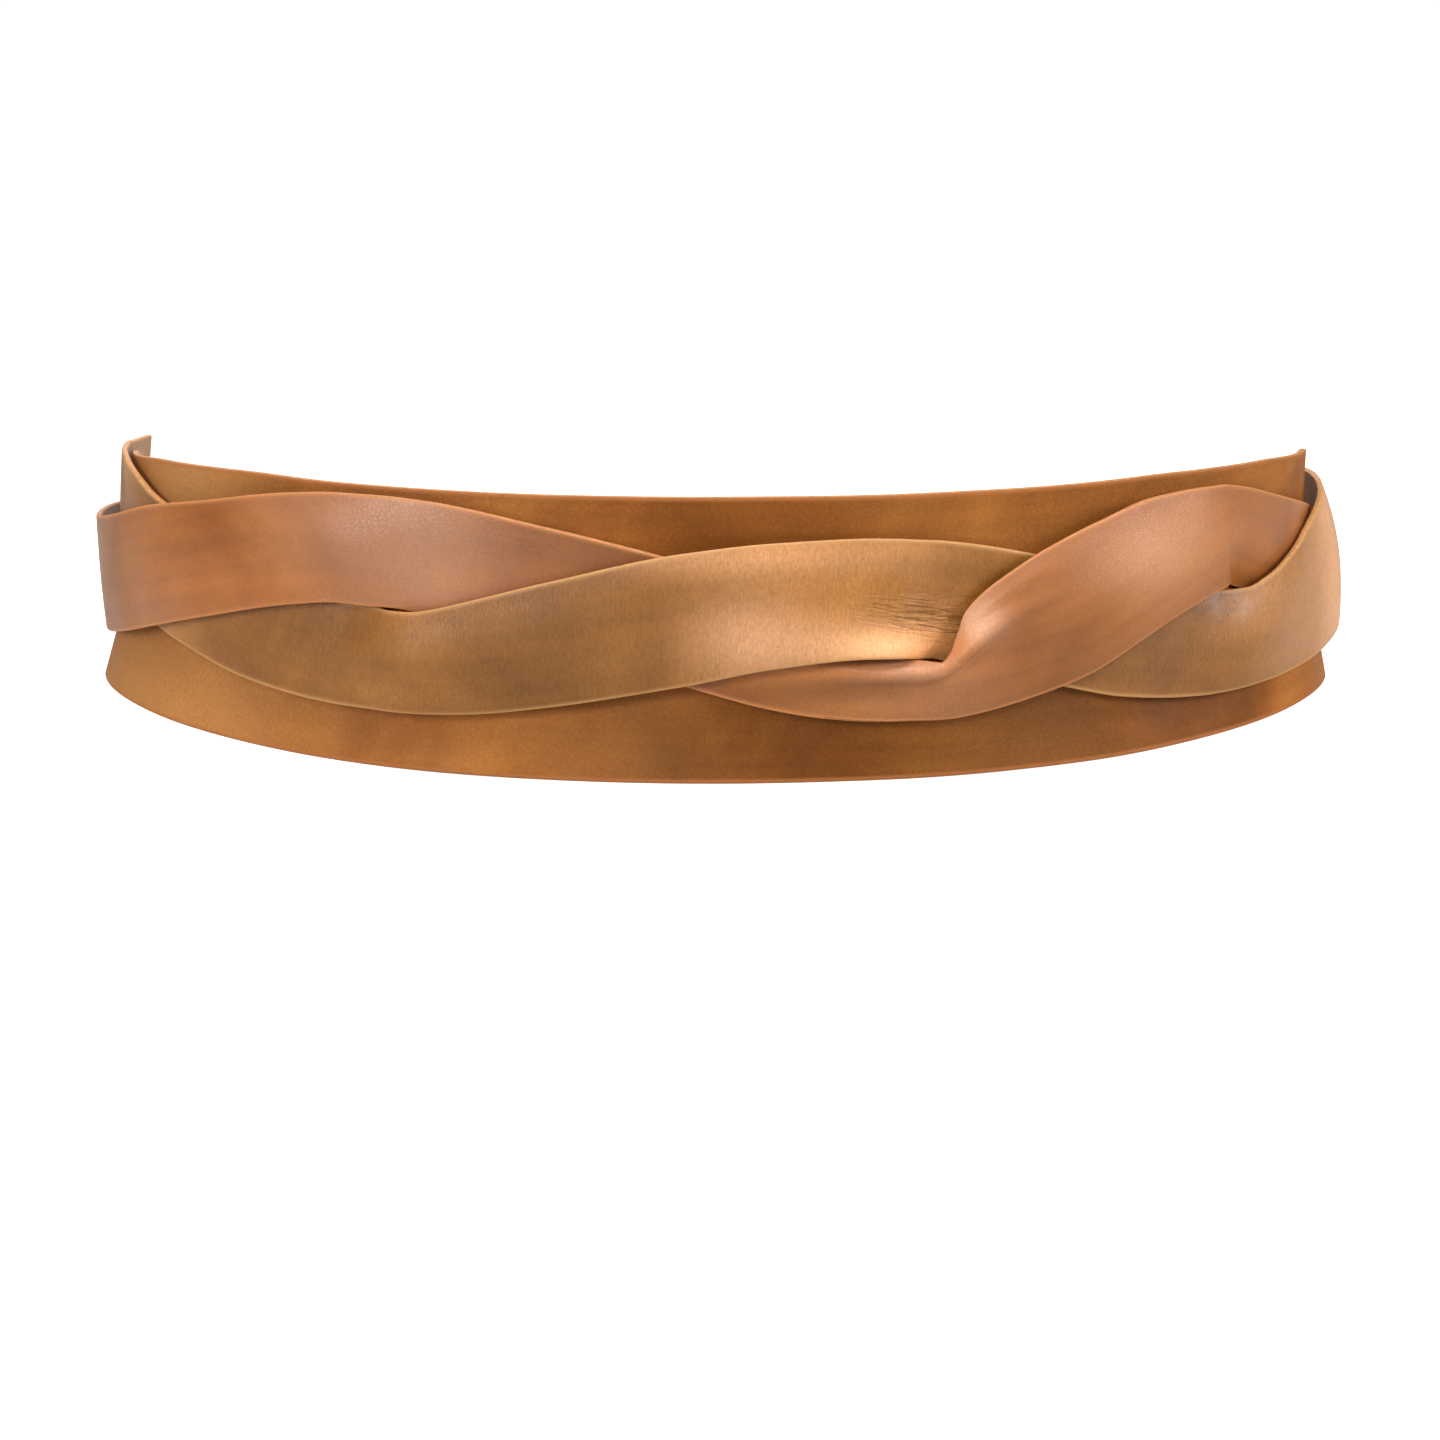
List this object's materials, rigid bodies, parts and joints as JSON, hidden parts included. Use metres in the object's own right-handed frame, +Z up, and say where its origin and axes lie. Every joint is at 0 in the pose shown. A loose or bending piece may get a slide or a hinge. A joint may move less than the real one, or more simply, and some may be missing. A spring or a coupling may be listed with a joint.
{
  "type": "leather wrap belt",
  "caption": "Obi-style wrap belt of soft tan leather: a tall front panel and long ties that cross behind the waist and twist round each other over the panel, no buckle.",
  "frame": {"origin": "centre of the bounding box in plan, on the plane of the lower edge", "axes": "+X towards the wearer's left side across the front, +Y from the front panel to the back of the waist, +Z up"},
  "size_m": [0.3006, 0.1988, 0.0607],
  "materials": {
    "panel_leather": "semi-matt, waxed full grain, mid brown tan",
    "left_tie_leather": "semi-matt, soft full grain, ochre tan",
    "right_tie_leather": "satin, soft full grain, reddish tan",
    "thread": "waxed twisted polyester, tan"
  },
  "bodies": {
    "root": {"front_panel": "panel_leather", "left_tie": "left_tie_leather", "right_tie": "right_tie_leather", "left_seam_front_row_needle_thread": "thread", "left_seam_front_row_bobbin_thread": "thread", "left_seam_back_row_needle_thread": "thread", "left_seam_back_row_bobbin_thread": "thread", "right_seam_front_row_needle_thread": "thread", "right_seam_front_row_bobbin_thread": "thread", "right_seam_back_row_needle_thread": "thread", "right_seam_back_row_bobbin_thread": "thread"}
  },
  "joints": []
}
